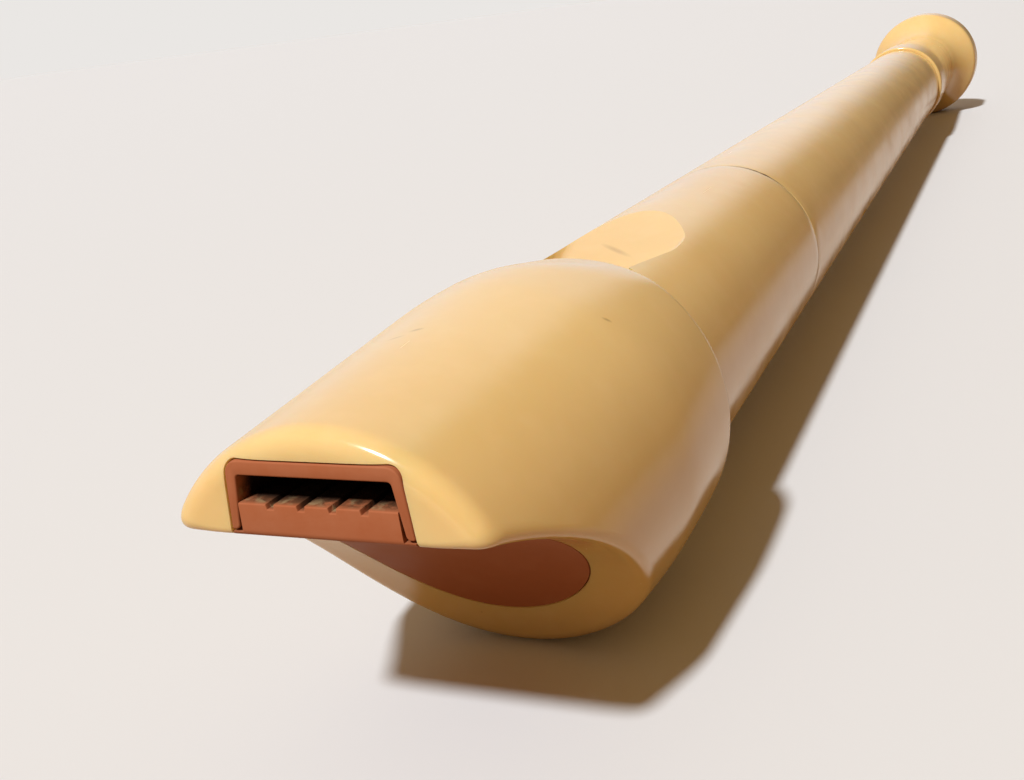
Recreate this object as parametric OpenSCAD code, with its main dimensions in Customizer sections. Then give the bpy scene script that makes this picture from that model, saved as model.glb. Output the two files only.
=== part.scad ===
// Soprano recorder in three joints: head, middle and foot.
// The pipe lies along X with the beak towards -X, the window up, and its widest rings on z = 0.
// Places along the pipe are measured from the beak tip, and heights from the pipe's own axis.

/* [Overall] */
// Length from the beak tip to the end of the foot
total_length = 325; // [318:1:332]
// Diameter of the bulb and of the bell ring, the two places it rests on
widest_d = 26.8; // [26.6:0.1:27.4]
// Turn of the finger holes away from the window, 0 when the recorder is set for playing
hole_turn = 55; // [0:5:180]

/* [Head] */
// Beak tip to the seam with the middle joint
head_length = 87.5; // [86:0.5:90]
// Beak tip to the widest place of the bulb
bulb_crest = 26.5; // [26:0.5:28]
// Radius of the arc from the beak's taper up to the crest
crest_arc_r = 50; // [40:5:60]
// Radius of the flat arc from the crest back to the rear rim
bulb_back_r = 190; // [160:10:240]
// Beak tip to the rounding of the bulb's rear rim
rim_s = 35.6; // [35.2:0.1:36]
// Rounding of the bulb's rear rim
rim_round = 2.3; // [2:0.1:2.5]
// Radius of the cove between the rear rim and the pipe
shoulder_cove_r = 1.6; // [1.2:0.1:2]
// Pipe diameter behind the bulb
neck_d = 22.8; // [22.6:0.1:23]
// Taper of the beak, in degrees to the axis
beak_taper = 3.5; // [3.2:0.05:3.7]
// Pipe diameter at the head's seam
seam_d = 21.6; // [21.4:0.1:21.8]
// Rounding of the beak's front rim
tip_fillet = 1.6; // [1:0.1:2]
// Radius of the hollow under the beak
hollow_r = 30.8; // [30:0.2:32]
// Height of the beak's lower front edge above the axis
beak_edge_z = 5.6; // [5.5:0.1:5.7]

/* [Windway] */
// Outer width of the windway liner at its top
liner_w = 11; // [10.9:0.1:11.2]
// Height of the liner's top above the axis
liner_top = 10.1; // [10:0.1:10.2]
// Rounding of the liner's upper corners
liner_corner = 0.9; // [0.5:0.1:1.2]
// Lean of the liner's outer sides, in degrees
liner_flare = 4.3; // [3.5:0.1:4.5]
// Width of the windway's channel at the liner's top
windway_w = 9.6; // [9.4:0.1:9.7]
// Lean of the channel's sides, in degrees
channel_flare = 7; // [5:0.5:7.5]
// Height of the windway at the beak tip
windway_in = 1.66; // [1.5:0.02:1.7]
// Height of the windway at the window
windway_out = 1; // [0.8:0.05:1.1]
// Number of grooves in the windway floor
groove_count = 4; // [2:1:4]
// Spacing of the grooves
groove_pitch = 2; // [1.8:0.1:2.2]

/* [Block and window] */
// Diameter of the block
block_d = 18.5; // [18.2:0.1:18.6]
// Length of the block
block_length = 36.9; // [36.7:0.1:37.1]
// Length of the window
window_length = 3.6; // [3.4:0.1:4.5]
// Width of the window
window_w = 9.8; // [9.6:0.1:10]
// Height of the lip above the axis
lip_z = 7.1; // [7:0.1:7.3]
// Width of the ramp at the lip
ramp_w = 9.1; // [9:0.1:9.4]
// Widening of the ramp on each side, in degrees
ramp_flare = 7.3; // [6:0.1:8]
// Rise of the ramp per millimetre
ramp_rise = 0.2; // [0.19:0.005:0.21]
// Height of the flat on top of the bulb, where the window starts
brow_z = 12.4; // [12.2:0.1:12.6]
// Fall of that flat towards the window, in degrees
brow_tilt = 8; // [7:0.5:9]

/* [Joints] */
// Diameter of the upper tenon
head_tenon_d = 16.6; // [16.4:0.1:16.8]
// Length of the upper tenon
head_tenon_length = 19; // [17:0.5:21]
// Diameter of the lower tenon
foot_tenon_d = 14.6; // [14.4:0.1:14.8]
// Length of the lower tenon
foot_tenon_length = 15; // [13:0.5:16]
// Depth of the cork's groove in a tenon
cork_depth = 0.7; // [0.6:0.05:0.8]
// Radial clearance where pieces slide or turn on each other
fit = 0.05; // [0.03:0.01:0.08]
// Open gap of each seam
seam_gap = 0.2; // [0.1:0.05:0.4]

/* [Middle and foot] */
// Length of the middle joint between its seams
middle_length = 170.5; // [168:0.5:172]
// Diameter of the middle joint at its upper end
middle_top_d = 21.5; // [21.3:0.1:21.7]
// Diameter of the middle joint at its lower end
middle_low_d = 17.6; // [17.4:0.1:18]
// Bore of the head
head_bore_d = 12.8; // [12.4:0.1:13]
// Bore at the lower end of the middle joint
low_bore_d = 10.8; // [10.6:0.1:11.2]
// Bore of the foot
foot_bore_d = 10.6; // [10.4:0.1:10.6]
// Diameter of the foot's socket ring
foot_ring_d = 18.8; // [18.4:0.1:19.2]
// Diameter of the foot's waist
foot_waist_d = 16.5; // [16.2:0.1:17]
// Radius of the cove that flares to the bell
bell_cove_r = 14; // [12:0.5:15]
// Rounding of the bell's end
bell_round = 4; // [3:0.5:5]

/* [Hidden] */
$fn = 96;

cream = [0.94, 0.83, 0.6];
terracotta = [0.72, 0.4, 0.28];
cork = [0.76, 0.58, 0.38];

// How far a cutter runs past the solid that it cuts
past = 1;
// Chamfer on the edges of each seam
edge_chamfer = 0.3;
widest_r = widest_d / 2;
axis_height = widest_r;

// Bulb outline: beak taper, crest, flat back, rear rim, cove, pipe
front_s = bulb_crest - crest_arc_r * sin(beak_taper);
front_r = widest_r - crest_arc_r * (1 - cos(beak_taper));
tip_r = front_r - front_s * tan(beak_taper);
back_fall = asin((rim_s - bulb_crest) / bulb_back_r);
back_centre = [widest_r - bulb_back_r, bulb_crest];
rim_centre = back_centre + (bulb_back_r - rim_round) * [cos(back_fall), sin(back_fall)];
shoulder_fall = acos((neck_d / 2 + shoulder_cove_r - rim_centre[0]) / (rim_round + shoulder_cove_r));
shoulder_centre = rim_centre + (rim_round + shoulder_cove_r) * [cos(shoulder_fall), sin(shoulder_fall)];
head_end = head_length - seam_gap / 2;

// Hollow under the beak: a cylinder across the pipe, over the beak's lower front edge
hollow_s = -6.7;
hollow_z = beak_edge_z - sqrt(hollow_r * hollow_r - hollow_s * hollow_s);

// Windway and liner
block_end_gap = 0.1;
chamber_s = block_length + block_end_gap;
floor_in = 7.57;
floor_out = 6.75;
leg_z = 5.95;
leg_gap = 0.15;
shoulder_z = 5.3;
groove_w = 0.4;
groove_d = 0.3;
lip_s = chamber_s + window_length;

// Tenons, sockets and corks
middle_start = head_length + seam_gap / 2;
middle_end = head_length + middle_length - seam_gap / 2;
foot_start = middle_end + seam_gap;
head_tenon_s = head_length - head_tenon_length;
foot_tenon_s = middle_end + foot_tenon_length;
cork_inset = 4;
cork_proud = 0.1;
head_cork = [head_tenon_s + cork_inset, head_length - cork_inset - 1];
foot_cork = [middle_end + cork_inset, foot_tenon_s - cork_inset];
tenon_chamfer = 0.5;

// Finger holes on the middle joint: place and diameter, thumb hole opposite them
finger_holes = [[140, 5.2], [160, 6], [180, 6.2], [204, 6.2], [223, 6]];
double_hole_s = 242;
thumb_hole = [131, 5.2];
double_hole_d = [3.6, 3];
double_hole_spread = 14;
hole_dish = 0.6;

// Foot: socket ring, taper to the waist, cove, bell ring
ring_end = foot_start + 10;
waist_s = total_length - 23;
little_hole_s = foot_tenon_s + 8;
little_hole_turn = 10;
mouth_flare = 1;

function floor_z(s) = floor_in + (floor_out - floor_in) * s / chamber_s;
function roof_z(s) = floor_z(s) + windway_in + (windway_out - windway_in) * s / chamber_s;
function ramp_z(s) = lip_z + ramp_rise * (s - lip_s);
function ramp_half(s) = ramp_w / 2 + (s - lip_s) * tan(ramp_flare);
function brow_height(s) = brow_z + (chamber_s - s) * tan(brow_tilt);
function channel_half(z) = windway_w / 2 + (liner_top - z) * tan(channel_flare);

module on_axis() translate([-total_length / 2, 0, axis_height]) children();

// Turns an outline of radius and place about the pipe's axis
module turned() rotate([0, 90, 0]) rotate_extrude() children();

module rod(d, from, to) translate([from, 0, 0]) rotate([0, 90, 0]) cylinder(d = d, h = to - from);

module taper(d_from, d_to, from, to) {
    translate([from, 0, 0]) rotate([0, 90, 0]) cylinder(d1 = d_from, d2 = d_to, h = to - from);
}

// Rod with a flat top, for the block and its chamber
module flat_rod(d, top, from, to) {
    difference() {
        rod(d, from, to);
        translate([from - past, -d, top]) cube([to - from + 2 * past, 2 * d, d]);
    }
}

// Outline of width and height, run along the pipe
module along(from, to) translate([from, 0, 0]) rotate([90, 0, 90]) linear_extrude(to - from) children();

// Outline of place and height, run across the pipe
module across(width) rotate([90, 0, 0]) linear_extrude(width, center = true) children();

// Leans the pipe's top towards +Y
module leaned(angle) rotate([-angle, 0, 0]) children();

// Points of an arc about a centre, between two angles
function arc(centre, r, from, to, steps) = [
    for (i = [0 : steps]) let (angle = from + (to - from) * i / steps) centre + r * [cos(angle), sin(angle)]
];

// Arch with round upper corners, whose sides lean outwards going down
module arch(width, top, bottom, corner, flare) {
    low_half = width / 2 + (top - bottom) * tan(flare);
    corner_y = width / 2 - corner * (1 - sin(flare)) / cos(flare);
    polygon(concat(
        [[-low_half, bottom], [low_half, bottom]],
        arc([corner_y, top - corner], corner, flare, 90, 6),
        arc([-corner_y, top - corner], corner, 90, 180 - flare, 6)
    ));
}

// Section of the channel that the windway and the block's ridge share, less a clearance
module channel(bottom, top, clearance) {
    polygon([[clearance - channel_half(bottom), bottom], [channel_half(bottom) - clearance, bottom],
        [channel_half(top) - clearance, top], [clearance - channel_half(top), top]]);
}

module beak_hollow() across(2 * widest_d) translate([hollow_s, hollow_z]) circle(hollow_r);

// Cuts a round hole with a dished rim through the upper wall
module finger_hole(s, d, surface_r) {
    translate([s, 0, 0]) cylinder(d = d, h = widest_r);
    translate([s, 0, surface_r - hole_dish]) cylinder(d1 = d, d2 = d + 4 * hole_dish, h = 2 * hole_dish);
}

module double_hole(s, surface_r) {
    for (i = [0, 1]) leaned((2 * i - 1) * double_hole_spread) finger_hole(s, double_hole_d[i], surface_r);
}

module head_outline() {
    tip_centre = [tip_r + tip_fillet * (tan(beak_taper) - 1 / cos(beak_taper)), tip_fillet];
    crest_centre = [widest_r - crest_arc_r, bulb_crest];
    polygon(concat(
        [[0, 0]],
        arc(tip_centre, tip_fillet, -90, -beak_taper, 6),
        arc(crest_centre, crest_arc_r, -beak_taper, 0, 4),
        arc(back_centre, bulb_back_r, back_fall / 3, back_fall, 2),
        arc(rim_centre, rim_round, back_fall + shoulder_fall / 8, shoulder_fall, 7),
        arc(shoulder_centre, shoulder_cove_r, 180 + shoulder_fall * 5 / 6, 180, 5),
        [[seam_d / 2, head_end - edge_chamfer], [seam_d / 2 - edge_chamfer, head_end], [0, head_end]]
    ));
}

// Window through to the bore, the ramp that rises from its lip and the flat brow before it
module window_and_ramp() {
    translate([chamber_s, -window_w / 2, 0]) cube([window_length, window_w, widest_d]);
    ramp_near = lip_s - fit;
    ramp_far = lip_s + widest_d;
    intersection() {
        across(widest_d) polygon([[ramp_near, ramp_z(ramp_near)], [ramp_far, ramp_z(ramp_far)],
            [ramp_near, ramp_z(ramp_far)]]);
        linear_extrude(widest_d) polygon([[ramp_near, -ramp_half(ramp_near)], [ramp_far, -ramp_half(ramp_far)],
            [ramp_far, ramp_half(ramp_far)], [ramp_near, ramp_half(ramp_near)]]);
    }
    across(widest_d) polygon([[bulb_crest, brow_height(bulb_crest)], [lip_s, brow_height(lip_s)],
        [lip_s, widest_d], [bulb_crest, widest_d]]);
}

module head_shell() {
    color(cream) on_axis() difference() {
        turned() head_outline();
        beak_hollow();
        flat_rod(block_d + 2 * fit, shoulder_z + fit, -past, chamber_s);
        along(-past, chamber_s) arch(liner_w + 2 * fit, liner_top + fit, 0, liner_corner, liner_flare);
        rod(head_bore_d, chamber_s - past, head_end);
        rod(head_tenon_d + 2 * (cork_proud + fit), head_tenon_s - seam_gap, head_length + past);
        window_and_ramp();
    }
}

module windway_liner() {
    color(terracotta) on_axis() difference() {
        along(0, chamber_s) arch(liner_w, liner_top, leg_z, liner_corner, liner_flare);
        intersection() {
            along(-past, chamber_s + past) channel(0, liner_top, 0);
            across(widest_d) polygon([[-past, 0], [-past, roof_z(-past)],
                [chamber_s + past, roof_z(chamber_s + past)], [chamber_s + past, 0]]);
        }
    }
}

module block() {
    color(terracotta) on_axis() difference() {
        union() {
            flat_rod(block_d, shoulder_z, 0, block_length);
            along(0, block_length) intersection() {
                arch(liner_w, liner_top, 0, liner_corner, liner_flare);
                translate([-block_d, 0]) square([2 * block_d, leg_z - leg_gap]);
            }
            along(0, block_length) channel(0, floor_in + past, fit);
        }
        across(widest_d) polygon([[-past, floor_z(-past)], [chamber_s, floor_z(chamber_s)], [chamber_s, widest_r],
            [-past, widest_r]]);
        for (i = [0 : groove_count - 1]) {
            translate([0, (i - (groove_count - 1) / 2) * groove_pitch, 0]) across(groove_w)
                polygon([[-past, floor_z(-past) - groove_d], [chamber_s, floor_z(chamber_s) - groove_d],
                    [chamber_s, widest_r], [-past, widest_r]]);
        }
        beak_hollow();
    }
}

// Ring of cork round a tenon, standing a little proud of it
module tenon_cork(tenon_d, span) {
    color(cork) on_axis() difference() {
        rod(tenon_d + 2 * cork_proud, span[0] + fit, span[1] - fit);
        rod(tenon_d - 2 * cork_depth + 2 * fit, span[0], span[1]);
    }
}

module head_tenon_cork() tenon_cork(head_tenon_d, head_cork);

module foot_tenon_cork() tenon_cork(foot_tenon_d, foot_cork);

module middle_outline() {
    head_r = head_tenon_d / 2;
    foot_r = foot_tenon_d / 2;
    top_r = middle_top_d / 2;
    low_r = middle_low_d / 2;
    polygon([
        [0, head_tenon_s], [head_r - tenon_chamfer, head_tenon_s], [head_r, head_tenon_s + tenon_chamfer],
        [head_r, head_cork[0]], [head_r - cork_depth, head_cork[0]],
        [head_r - cork_depth, head_cork[1]], [head_r, head_cork[1]], [head_r, middle_start],
        [top_r - edge_chamfer, middle_start], [top_r, middle_start + edge_chamfer],
        [low_r, middle_end - edge_chamfer], [low_r - edge_chamfer, middle_end],
        [foot_r, middle_end], [foot_r, foot_cork[0]], [foot_r - cork_depth, foot_cork[0]],
        [foot_r - cork_depth, foot_cork[1]], [foot_r, foot_cork[1]],
        [foot_r, foot_tenon_s - tenon_chamfer], [foot_r - tenon_chamfer, foot_tenon_s], [0, foot_tenon_s]
    ]);
}

function middle_r(s) = (middle_top_d + (middle_low_d - middle_top_d) * (s - head_length) / middle_length) / 2;

module middle_joint() {
    color(cream) on_axis() difference() {
        turned() middle_outline();
        taper(head_bore_d, low_bore_d, head_tenon_s - past, foot_tenon_s + past);
        leaned(hole_turn) {
            for (hole = finger_holes) finger_hole(hole[0], hole[1], middle_r(hole[0]));
            double_hole(double_hole_s, middle_r(double_hole_s));
            leaned(180) finger_hole(thumb_hole[0], thumb_hole[1], middle_r(thumb_hole[0]));
        }
    }
}

module foot_outline() {
    ring_r = foot_ring_d / 2;
    waist_r = foot_waist_d / 2;
    waist_taper = atan((ring_r - waist_r) / (waist_s - ring_end));
    difference() {
        union() {
            polygon([[0, foot_start], [ring_r - edge_chamfer, foot_start], [ring_r, foot_start + edge_chamfer],
                [ring_r, ring_end], [waist_r, waist_s], [widest_r, waist_s], [widest_r, total_length - bell_round],
                [widest_r - bell_round, total_length], [0, total_length]]);
            translate([widest_r - bell_round, total_length - bell_round]) circle(bell_round);
        }
        translate([waist_r + bell_cove_r * cos(waist_taper), waist_s + bell_cove_r * sin(waist_taper)])
            circle(bell_cove_r);
    }
}

function foot_r(s) = (foot_ring_d + (foot_waist_d - foot_ring_d) * (s - ring_end) / (waist_s - ring_end)) / 2;

module foot_joint() {
    color(cream) on_axis() difference() {
        turned() foot_outline();
        rod(foot_tenon_d + 2 * (cork_proud + fit), foot_start - past, foot_tenon_s + seam_gap);
        rod(foot_bore_d, foot_tenon_s, total_length + past);
        taper(foot_bore_d, foot_bore_d + 4 * mouth_flare, total_length - mouth_flare, total_length + mouth_flare);
        leaned(hole_turn - little_hole_turn) double_hole(little_hole_s, foot_r(little_hole_s));
    }
}

head_shell();
windway_liner();
block();
head_tenon_cork();
middle_joint();
foot_tenon_cork();
foot_joint();
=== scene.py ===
import math

import bmesh
import bpy
from mathutils import Matrix, Vector


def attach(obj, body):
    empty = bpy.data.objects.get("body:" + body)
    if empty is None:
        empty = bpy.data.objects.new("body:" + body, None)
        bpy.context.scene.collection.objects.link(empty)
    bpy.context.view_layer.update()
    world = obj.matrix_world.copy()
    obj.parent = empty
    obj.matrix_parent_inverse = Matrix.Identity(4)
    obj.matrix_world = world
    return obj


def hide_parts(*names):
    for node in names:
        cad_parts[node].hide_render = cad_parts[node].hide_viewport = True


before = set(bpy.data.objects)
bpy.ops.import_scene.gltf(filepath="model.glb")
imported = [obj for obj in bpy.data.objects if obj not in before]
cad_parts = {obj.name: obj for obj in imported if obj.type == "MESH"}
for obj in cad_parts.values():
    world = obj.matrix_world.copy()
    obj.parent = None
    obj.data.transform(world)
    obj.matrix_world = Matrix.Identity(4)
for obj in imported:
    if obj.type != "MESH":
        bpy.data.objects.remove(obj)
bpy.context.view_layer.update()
print("frame loaded:", sorted(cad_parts))

# meshes are drawn in millimetres: x from the beak tip, y and z from the pipe's axis
mm = 0.001
pipeFrame = Matrix.Translation((-0.1625, 0, 0.0134)) @ Matrix.Diagonal((mm, mm, mm, 1))


def linear(hexColour):
    channels = [int(hexColour[i:i + 2], 16) / 255 for i in (1, 3, 5)]
    return [c / 12.92 if c <= 0.04045 else ((c + 0.055) / 1.055) ** 2.4 for c in channels] + [1.0]


def addNode(tree, kind, settings=None, links=None):
    node = tree.nodes.new(kind)
    for name, value in (settings or {}).items():
        if isinstance(name, str) and hasattr(node, name):
            setattr(node, name, value)
        else:
            node.inputs[name].default_value = value
    for name, source in (links or {}).items():
        tree.links.new(source, node.inputs[name])
    return node


def newMaterial(name):
    material = bpy.data.materials.new(name)
    material.use_nodes = True
    tree = material.node_tree
    return material, tree, tree.nodes["Principled BSDF"], tree.nodes.new("ShaderNodeTexCoord")


def perMetre(size):
    return 1000 / size  # texture scale for a feature of this many millimetres


# ABS, injection moulded and polished by hands: glossy, a little see-through at thin edges, slightly wavy
# in its reflections, yellowed unevenly with age, with fine specks and hairline scratches
ivoryPlastic = {
    "body": "#EBCD8D", "aged": "#E2BB76", "speck": "#7C5A30", "seamDarkness": "#5B3D25", "wear": "#F3D69C",
    "agedSize": 30.0, "mottleSize": 2.2, "speckSpacing": 5.0, "speckRadius": 0.11, "seamNoiseSize": 0.9,
    "waveSize": 13.0, "waveHeight": 0.05, "peelSize": 0.7, "peelHeight": 0.0009, "smudgeSize": 8.0,
    "scratchLong": 70.0, "scratchApart": 1.6, "scratchDeep": 0.004, "roughness": (0.12, 0.24), "ior": 1.53,
    "glow": 0.3, "glowRadius": (1.0, 0.55, 0.25), "glowDepth": 2.5,
}
look = ivoryPlastic
ivory, tree, shader, coords = newMaterial("mouldedIvoryPlastic")
place = coords.outputs["Object"]
agedNoise = addNode(tree, "ShaderNodeTexNoise", {"Scale": perMetre(look["agedSize"]), "Detail": 3.0},
                    {"Vector": place})
agedShare = addNode(tree, "ShaderNodeMapRange", {"From Min": 0.4, "From Max": 0.75, "To Max": 0.6},
                    {"Value": agedNoise.outputs["Fac"]})
agedColour = addNode(tree, "ShaderNodeMix", {
    "data_type": "RGBA", 6: linear(look["body"]), 7: linear(look["aged"])},
    {"Factor": agedShare.outputs["Result"]})
mottleNoise = addNode(tree, "ShaderNodeTexNoise", {"Scale": perMetre(look["mottleSize"]), "Detail": 2.0},
                      {"Vector": place})
mottleShare = addNode(tree, "ShaderNodeMapRange", {"From Min": 0.45, "From Max": 0.8, "To Max": 0.22},
                      {"Value": mottleNoise.outputs["Fac"]})
mottled = addNode(tree, "ShaderNodeMix", {"data_type": "RGBA", 7: linear(look["wear"])},
                  {"Factor": mottleShare.outputs["Result"], 6: agedColour.outputs[2]})
# specks: one small dark grain in some of the cells
speckReach = look["speckRadius"] / look["speckSpacing"]
speckCells = addNode(tree, "ShaderNodeTexVoronoi", {"Scale": perMetre(look["speckSpacing"])},
                     {"Vector": place})
speckHere = addNode(tree, "ShaderNodeMapRange", {"From Min": speckReach, "From Max": 0.4 * speckReach},
                    {"Value": speckCells.outputs["Distance"]})
speckChosen = addNode(tree, "ShaderNodeSeparateColor", {}, {"Color": speckCells.outputs["Color"]})
speckSome = addNode(tree, "ShaderNodeMath", {"operation": "GREATER_THAN", 1: 0.55},
                    {0: speckChosen.outputs["Red"]})
speckMask = addNode(tree, "ShaderNodeMath", {"operation": "MULTIPLY"},
                    {0: speckHere.outputs["Result"], 1: speckSome.outputs["Value"]})
speckFaint = addNode(tree, "ShaderNodeMath", {"operation": "MULTIPLY", 1: 0.6},
                     {0: speckMask.outputs["Value"]})
specked = addNode(tree, "ShaderNodeMix", {"data_type": "RGBA", 7: linear(look["speck"])},
                  {"Factor": speckFaint.outputs["Value"], 6: mottled.outputs[2]})
# hairline scratches: a thin stroke in some of the long cells
scratchAcross = perMetre(look["scratchApart"])
scratchLay = addNode(tree, "ShaderNodeMapping", {
    "Rotation": (0.2, 0.35, 0.5), "Scale": (perMetre(look["scratchLong"]), scratchAcross, scratchAcross)},
    {"Vector": place})
scratchCells = addNode(tree, "ShaderNodeTexVoronoi", {"Scale": 1.0}, {"Vector": scratchLay.outputs["Vector"]})
scratches = addNode(tree, "ShaderNodeMapRange", {"From Min": 0.035, "From Max": 0.015},
                    {"Value": scratchCells.outputs["Distance"]})
# marks: a nick and two smudges on the bulb, a scratch on the ramp
marks = {
    "nick": {"at": (-0.1375, -0.00816, 0.0240), "turn": -1.0, "reach": (0.0005, 0.0002, 0.0004), "dark": 0.4},
    "smudgeFront": {
        "at": (-0.1479, 0.0022, 0.0260), "turn": -1.16, "reach": (0.0008, 0.00022, 0.0006), "dark": 0.22},
    "smudgeBack": {
        "at": (-0.1468, 0.0012, 0.0261), "turn": -1.16, "reach": (0.0006, 0.00028, 0.0006), "dark": 0.35},
    "rampScratch": {
        "at": (-0.11059, 0.00047, 0.02278), "turn": 0.88, "reach": (0.0027, 0.0004, 0.003), "dark": 0.3},
}
marked = specked
for mark in marks.values():
    markPlace = addNode(tree, "ShaderNodeMapping", {
        "vector_type": "TEXTURE", "Location": mark["at"], "Rotation": (0, 0, mark["turn"]),
        "Scale": mark["reach"]}, {"Vector": place})
    markFar = addNode(tree, "ShaderNodeVectorMath", {"operation": "LENGTH"}, {0: markPlace.outputs["Vector"]})
    markHere = addNode(tree, "ShaderNodeMapRange", {
        "From Min": 1.0, "From Max": 0.25, "To Max": mark["dark"]}, {"Value": markFar.outputs["Value"]})
    marked = addNode(tree, "ShaderNodeMix", {"data_type": "RGBA", 7: linear(look["speck"])},
                     {"Factor": markHere.outputs["Result"], 6: marked.outputs[2]})
# darker colour in the seam on the window's side of the pipe
seam = {
    "place": -0.075, "middle": -0.0045, "ragged": 0.0005, "reach": (0.00042, 0.0001),
    "sideReach": (0.0040, 0.0008), "topFrom": (0.014, 0.018),
}
axes = addNode(tree, "ShaderNodeSeparateXYZ", {}, {"Vector": place})
seamOff = addNode(tree, "ShaderNodeMath", {"operation": "SUBTRACT", 1: seam["place"]}, {0: axes.outputs["X"]})
seamNear = addNode(tree, "ShaderNodeMath", {"operation": "ABSOLUTE"}, {0: seamOff.outputs["Value"]})
seamNoise = addNode(tree, "ShaderNodeTexNoise", {"Scale": perMetre(look["seamNoiseSize"]), "Detail": 3.0},
                     {"Vector": place})
seamRagged = addNode(tree, "ShaderNodeMath", {
    "operation": "MULTIPLY_ADD", 1: seam["ragged"], 2: -seam["ragged"] / 2}, {0: seamNoise.outputs["Fac"]})
seamWide = addNode(tree, "ShaderNodeMath", {"operation": "ADD"},
                   {0: seamNear.outputs["Value"], 1: seamRagged.outputs["Value"]})
seamBand = addNode(tree, "ShaderNodeMapRange", {"From Min": seam["reach"][0], "From Max": seam["reach"][1]},
                   {"Value": seamWide.outputs["Value"]})
sideOff = addNode(tree, "ShaderNodeMath", {"operation": "SUBTRACT", 1: seam["middle"]},
                  {0: axes.outputs["Y"]})
sideNear = addNode(tree, "ShaderNodeMath", {"operation": "ABSOLUTE"}, {0: sideOff.outputs["Value"]})
sideBand = addNode(tree, "ShaderNodeMapRange", {
    "From Min": seam["sideReach"][0], "From Max": seam["sideReach"][1]}, {"Value": sideNear.outputs["Value"]})
topBand = addNode(tree, "ShaderNodeMapRange", {
    "From Min": seam["topFrom"][0], "From Max": seam["topFrom"][1]}, {"Value": axes.outputs["Z"]})
seamDarkSide = addNode(tree, "ShaderNodeMath", {"operation": "MULTIPLY"},
                    {0: sideBand.outputs["Result"], 1: topBand.outputs["Result"]})
seamDarkness = addNode(tree, "ShaderNodeMath", {"operation": "MULTIPLY"},
                {0: seamDarkSide.outputs["Value"], 1: seamBand.outputs["Result"]})
seamDarkened = addNode(tree, "ShaderNodeMix", {"data_type": "RGBA", 7: linear(look["seamDarkness"])},
                 {"Factor": seamDarkness.outputs["Value"], 6: marked.outputs[2]})
tree.links.new(seamDarkened.outputs[2], shader.inputs["Base Color"])
# gloss, duller where handled and where scratched
smudgeNoise = addNode(tree, "ShaderNodeTexNoise", {
    "Scale": perMetre(look["smudgeSize"]), "Detail": 4.0, "Roughness": 0.6}, {"Vector": place})
smudge = addNode(tree, "ShaderNodeMapRange", {
    "From Min": 0.35, "From Max": 0.7, "To Min": look["roughness"][0], "To Max": look["roughness"][1]},
    {"Value": smudgeNoise.outputs["Fac"]})
dulled = addNode(tree, "ShaderNodeMath", {"operation": "MULTIPLY_ADD", 1: 0.25},
                 {0: scratches.outputs["Result"], 2: smudge.outputs["Result"]})
seamDarkDull = addNode(tree, "ShaderNodeMath", {"operation": "MULTIPLY_ADD", 1: 0.4},
                    {0: seamDarkness.outputs["Value"], 2: dulled.outputs["Value"]})
tree.links.new(seamDarkDull.outputs["Value"], shader.inputs["Roughness"])
waveNoise = addNode(tree, "ShaderNodeTexNoise", {"Scale": perMetre(look["waveSize"]), "Detail": 1.0},
                    {"Vector": place})
waves = addNode(tree, "ShaderNodeBump", {"Strength": 1.0, "Distance": look["waveHeight"] * mm},
                {"Height": waveNoise.outputs["Fac"]})
peelNoise = addNode(tree, "ShaderNodeTexNoise", {"Scale": perMetre(look["peelSize"]), "Detail": 1.0},
                    {"Vector": place})
peel = addNode(tree, "ShaderNodeBump", {"Strength": 1.0, "Distance": look["peelHeight"] * mm},
               {"Height": peelNoise.outputs["Fac"], "Normal": waves.outputs["Normal"]})
cuts = addNode(tree, "ShaderNodeBump", {
    "Strength": 0.3, "Distance": look["scratchDeep"] * mm, "invert": True},
    {"Height": scratches.outputs["Result"], "Normal": peel.outputs["Normal"]})
tree.links.new(cuts.outputs["Normal"], shader.inputs["Normal"])
shader.inputs["IOR"].default_value = look["ior"]
shader.inputs["Subsurface Weight"].default_value = look["glow"]
shader.inputs["Subsurface Radius"].default_value = look["glowRadius"]
shader.inputs["Subsurface Scale"].default_value = look["glowDepth"] * mm

# ABS again, moulded to a satin finish: brick red, rubbed a little paler in patches, with dried residue in
# the windway, and painted shade with damp a little way into it
clayPlastic = {
    "body": "#A76342", "pale": "#B2775A", "residue": "#6B4630", "crust": "#957A5A", "dampShade": "#1B100A",
    "paleSize": 5.0, "grainSize": 0.35, "grainHeight": 0.004, "residueSize": 2.4, "crustSize": 0.8,
    "crustHeight": 0.04, "roughness": (0.45, 0.65), "ior": 1.5, "specular": 0.1,
}
# where the windway is stained: residue, and painted shade with damp a little way in from the lips
dirtAndShade = {
    "start": (-0.16245, -0.1620), "low": (0.0187, 0.0195), "high": (0.0221, 0.0216),
    "dampShadeStart": (-0.1612, -0.1603), "dampShadeRagged": 0.0016, "dampShadeMost": 0.95, "dampShadeHeight": (0.0185, 0.0196),
    "fade": (-0.1510, -0.1410), "fadeRagged": 0.012, "fadeLeast": 0.12,
}
look = clayPlastic
clay, tree, shader, coords = newMaterial("mouldedTerracottaPlastic")
place = coords.outputs["Object"]
paleNoise = addNode(tree, "ShaderNodeTexNoise", {
    "Scale": perMetre(look["paleSize"]), "Detail": 5.0, "Roughness": 0.6}, {"Vector": place})
paleShare = addNode(tree, "ShaderNodeMapRange", {"From Min": 0.45, "From Max": 0.75, "To Max": 0.6},
                    {"Value": paleNoise.outputs["Fac"]})
paled = addNode(tree, "ShaderNodeMix", {
    "data_type": "RGBA", 6: linear(look["body"]), 7: linear(look["pale"])},
    {"Factor": paleShare.outputs["Result"]})
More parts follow.
